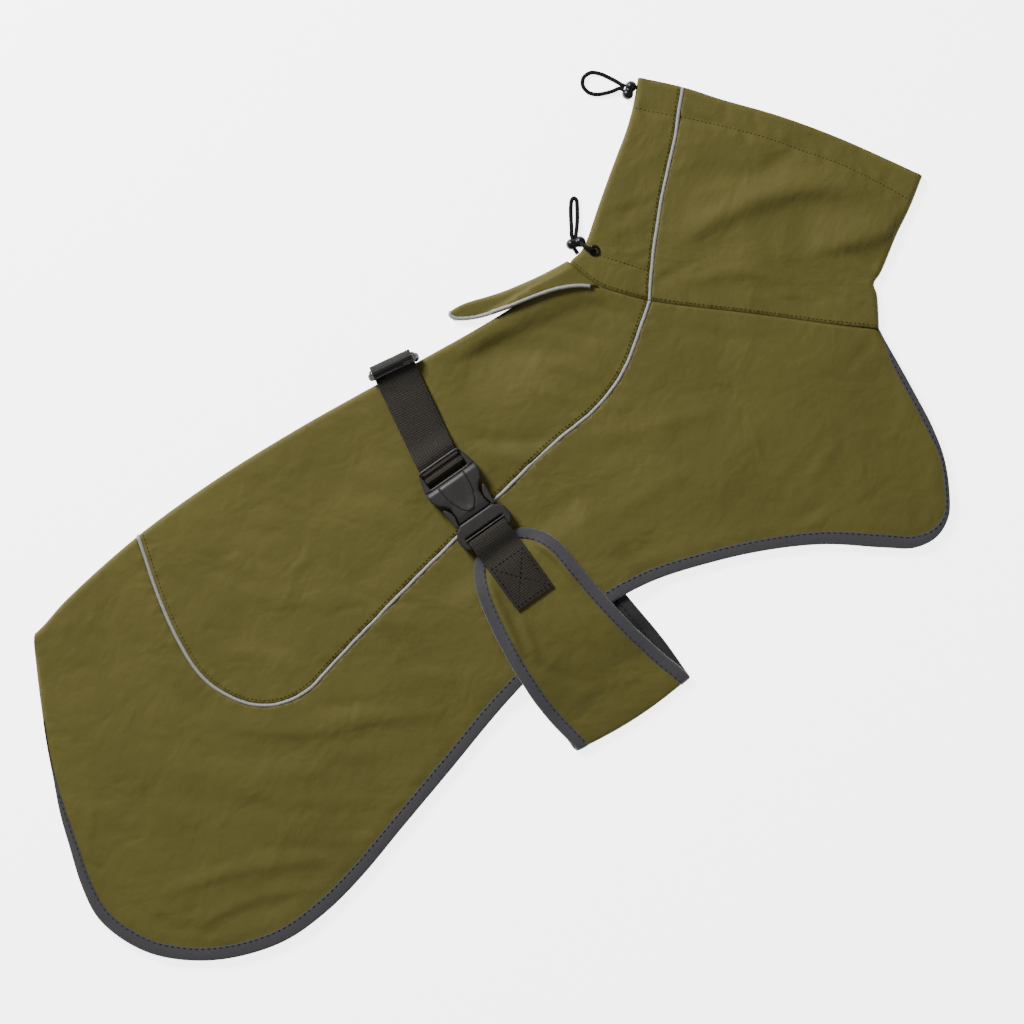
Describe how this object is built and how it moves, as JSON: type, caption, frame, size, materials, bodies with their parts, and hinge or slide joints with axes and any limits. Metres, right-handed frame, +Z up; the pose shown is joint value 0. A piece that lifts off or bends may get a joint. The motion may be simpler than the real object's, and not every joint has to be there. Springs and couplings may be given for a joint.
{
  "type": "dog winter coat",
  "caption": "Padded dog winter coat with high drawcord collar, piped saddle, buckled belly band and bound hem, lying flat on its side.",
  "frame": {"origin": "middle of the coat's outline in plan, cords left out, on the surface that it lies on", "axes": "+X along the back from tail to neck, +Y from the belly to the back, +Z up from the surface"},
  "size_m": [0.945, 0.4991, 0.0223],
  "materials": {
    "shell": "olive waterproof woven polyester, matt with a soft sheen",
    "piping": "grey reflective piping",
    "binding": "dark grey woven bias binding",
    "webbing": "dark grey-brown ribbed polyester webbing",
    "buckle": "dark grey moulded acetal, satin",
    "cord_lock": "black moulded nylon",
    "cord": "black braided elastic cord"
  },
  "bodies": {
    "root": {"saddle": "shell", "flank_near": "shell", "flank_far": "shell", "collar_back": "shell", "collar_front": "shell", "lead_flap": "shell", "belly_band": "shell", "saddle_piping": "piping", "collar_piping_near": "piping", "collar_piping_far": "piping", "flap_piping": "piping", "hem_binding_near": "binding", "hem_binding_far": "binding", "band_binding_rear": "binding", "band_binding_front": "binding", "back_strap": "webbing", "buckle_strap": "webbing", "buckle_female": "buckle", "buckle_male": "buckle", "slider": "buckle", "eyelet": "cord_lock", "cord_lock_top": "cord_lock", "cord_lock_neck": "cord_lock", "cord_top": "cord", "cord_neck": "cord", "cord_neck_lead": "cord", "cord_neck_tail": "cord"}
  },
  "joints": []
}
